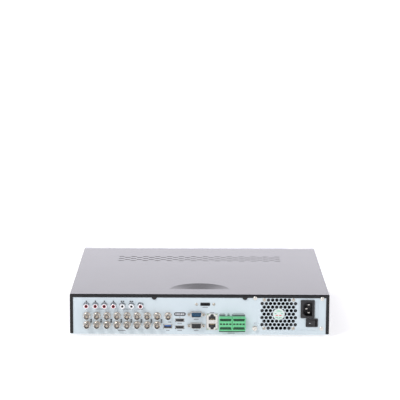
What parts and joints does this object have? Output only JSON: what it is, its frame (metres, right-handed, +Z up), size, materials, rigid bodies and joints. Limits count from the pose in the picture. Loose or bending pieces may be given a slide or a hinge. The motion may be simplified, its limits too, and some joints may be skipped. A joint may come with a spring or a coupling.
{
  "type": "video recorder",
  "caption": "Flat steel-cased video recorder with a connector panel of coaxial, audio, display, network and alarm sockets, a fan grille, and a keyed front bezel.",
  "frame": {"origin": "on the supporting surface, under the middle of the recorder's box", "axes": "+Z up; +Y out of the connector panel at the back; -Y out of the front bezel; X across the width"},
  "size_m": [0.445, 0.4026, 0.0755],
  "materials": {
    "cover_paint": "satin powder coat",
    "tray_steel": "zinc coated",
    "panel_paint": "satin light grey-blue paint",
    "black_screw": "black oxide",
    "bezel_plastic": "satin silver",
    "fascia_plastic": "gloss black",
    "window_plastic": "dark translucent",
    "light_pipe": "clear tinted",
    "key_plastic": "satin",
    "rubber": "matte",
    "socket_nickel": "satin nickel",
    "insulator": "white",
    "contact_gold": "gold plated",
    "black_plastic": "moulded",
    "ring_metal": "bright nickel",
    "red_plastic": "moulded",
    "white_plastic": "moulded",
    "blue_plastic": "moulded",
    "tin_steel": "tin plated",
    "green_plastic": "moulded",
    "screw_nickel": "nickel plated",
    "label_paper": "printed paper",
    "board_laminate": "solder mask",
    "chip_plastic": "moulded",
    "cooler_aluminium": "anodised",
    "supply_laminate": "bare laminate",
    "supply_blocks": "mixed",
    "drive_aluminium": "cast and milled",
    "lead_insulation": "matte"
  },
  "bodies": {
    "root": {"chassis_base": "tray_steel", "rear_panel": "panel_paint", "top_cover": "cover_paint", "cover_screws": "black_screw", "front_bezel": "bezel_plastic", "front_fascia": "fascia_plastic", "display_window": "window_plastic", "status_lights": "light_pipe", "front_ports": "tin_steel", "front_board": "board_laminate", "feet": "rubber", "bnc_shells": "socket_nickel", "bnc_insulators": "insulator", "bnc_contacts": "contact_gold", "bnc_blocks": "black_plastic", "rca_shells": "ring_metal", "rca_red_inserts": "red_plastic", "rca_white_inserts": "white_plastic", "rca_block": "black_plastic", "usb_shell": "tin_steel", "usb_tongue": "blue_plastic", "hdmi_shells": "tin_steel", "hdmi_block": "black_plastic", "dsub_block": "black_plastic", "serial_shell": "tin_steel", "serial_insert": "blue_plastic", "vga_shell": "tin_steel", "vga_insert": "black_plastic", "jackscrews": "screw_nickel", "esata_port": "black_plastic", "esata_screws": "screw_nickel", "network_jacks": "tin_steel", "network_lights": "light_pipe", "terminal_blocks": "green_plastic", "ground_screw": "screw_nickel", "panel_screws": "screw_nickel", "fan_frame": "black_plastic", "fan_screws": "screw_nickel", "grille_label": "label_paper", "mains_inlet": "black_plastic", "inlet_pins": "screw_nickel", "switch_frame": "black_plastic", "main_board": "board_laminate", "board_chips": "chip_plastic", "board_heatsinks": "cooler_aluminium", "audio_board": "board_laminate", "supply_board": "supply_laminate", "supply_parts": "supply_blocks", "hard_drives": "drive_aluminium", "drive_tray": "tray_steel", "cables": "lead_insulation"},
    "power_button": {"power_button": "key_plastic"},
    "key_up": {"key_up": "key_plastic"},
    "key_down": {"key_down": "key_plastic"},
    "key_left": {"key_left": "key_plastic"},
    "key_right": {"key_right": "key_plastic"},
    "key_enter": {"key_enter": "key_plastic"},
    "fan_rotor": {"fan_rotor": "black_plastic"},
    "power_rocker": {"power_rocker": "black_plastic"}
  },
  "joints": [
    {"name": "power_button_press", "type": "slide", "parent": "root", "child": "power_button", "axis": [0, 1, 0], "range_m": [0, 0.0005], "stiffness_N_per_m": 420, "springref_m": -0.001},
    {"name": "key_up_press", "type": "slide", "parent": "root", "child": "key_up", "axis": [0, 1, 0], "range_m": [0, 0.0005], "stiffness_N_per_m": 260, "springref_m": -0.001},
    {"name": "key_down_press", "type": "slide", "parent": "root", "child": "key_down", "axis": [0, 1, 0], "range_m": [0, 0.0005], "stiffness_N_per_m": 260, "springref_m": -0.001},
    {"name": "key_left_press", "type": "slide", "parent": "root", "child": "key_left", "axis": [0, 1, 0], "range_m": [0, 0.0005], "stiffness_N_per_m": 260, "springref_m": -0.001},
    {"name": "key_right_press", "type": "slide", "parent": "root", "child": "key_right", "axis": [0, 1, 0], "range_m": [0, 0.0005], "stiffness_N_per_m": 260, "springref_m": -0.001},
    {"name": "key_enter_press", "type": "slide", "parent": "root", "child": "key_enter", "axis": [0, 1, 0], "range_m": [0, 0.0005], "stiffness_N_per_m": 260, "springref_m": -0.001},
    {"name": "fan_spin", "type": "hinge", "parent": "root", "child": "fan_rotor", "pos_m": [-0.1358, 0.1776, 0.0412], "axis": [0, 1, 0], "continuous": true},
    {"name": "rocker_tilt", "type": "hinge", "parent": "root", "child": "power_rocker", "pos_m": [-0.1927, 0.1843, 0.0265], "axis": [0, 0, 1], "range_deg": [0, 14]}
  ]
}
